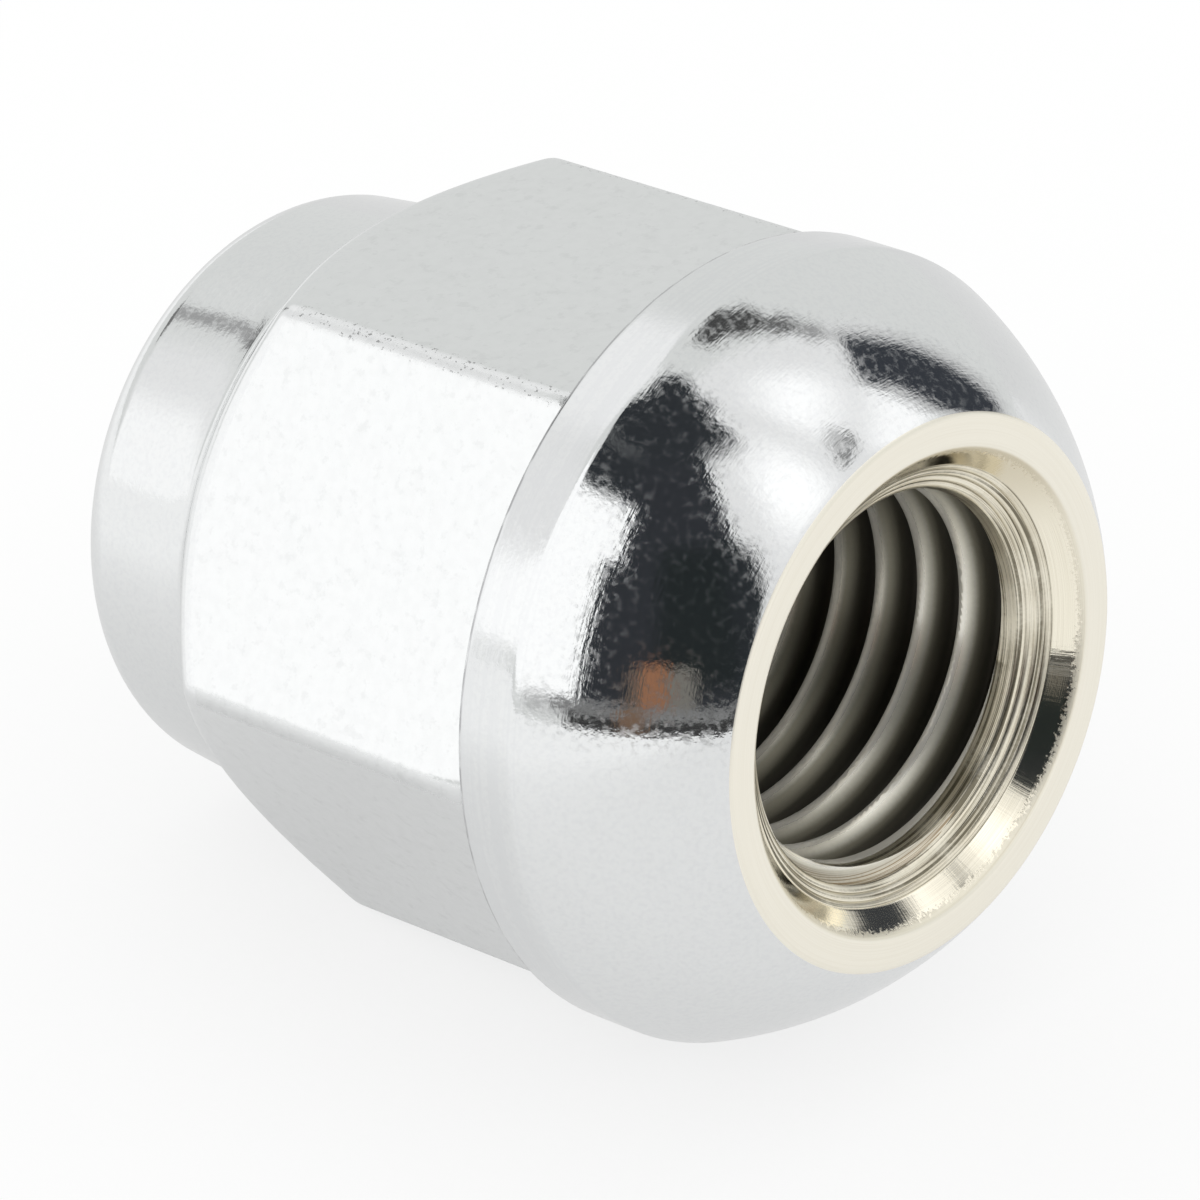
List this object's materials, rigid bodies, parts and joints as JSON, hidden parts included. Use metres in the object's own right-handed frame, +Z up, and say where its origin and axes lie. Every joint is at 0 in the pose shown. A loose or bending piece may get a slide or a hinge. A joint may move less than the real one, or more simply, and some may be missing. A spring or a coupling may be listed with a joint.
{
  "type": "lug nut",
  "caption": "Closed-end wheel lug nut: hexagon body with a ball seat and collar at the open end, a blind metric thread behind a countersunk mouth, and a drafted round crown.",
  "frame": {"origin": "on the surface that the nut lies on, under the middle of its box", "axes": "+Z up; the nut's axis lies in the XZ plane with the open end towards +X and raised by the rest tilt"},
  "size_m": [0.026, 0.0222, 0.0223],
  "materials": {
    "chrome": "bright plating over steel, finely pebbled on the flats, turned on the ball seat, nickel tint in the mouth"
  },
  "bodies": {
    "root": {"lug_nut": "chrome"}
  },
  "joints": []
}
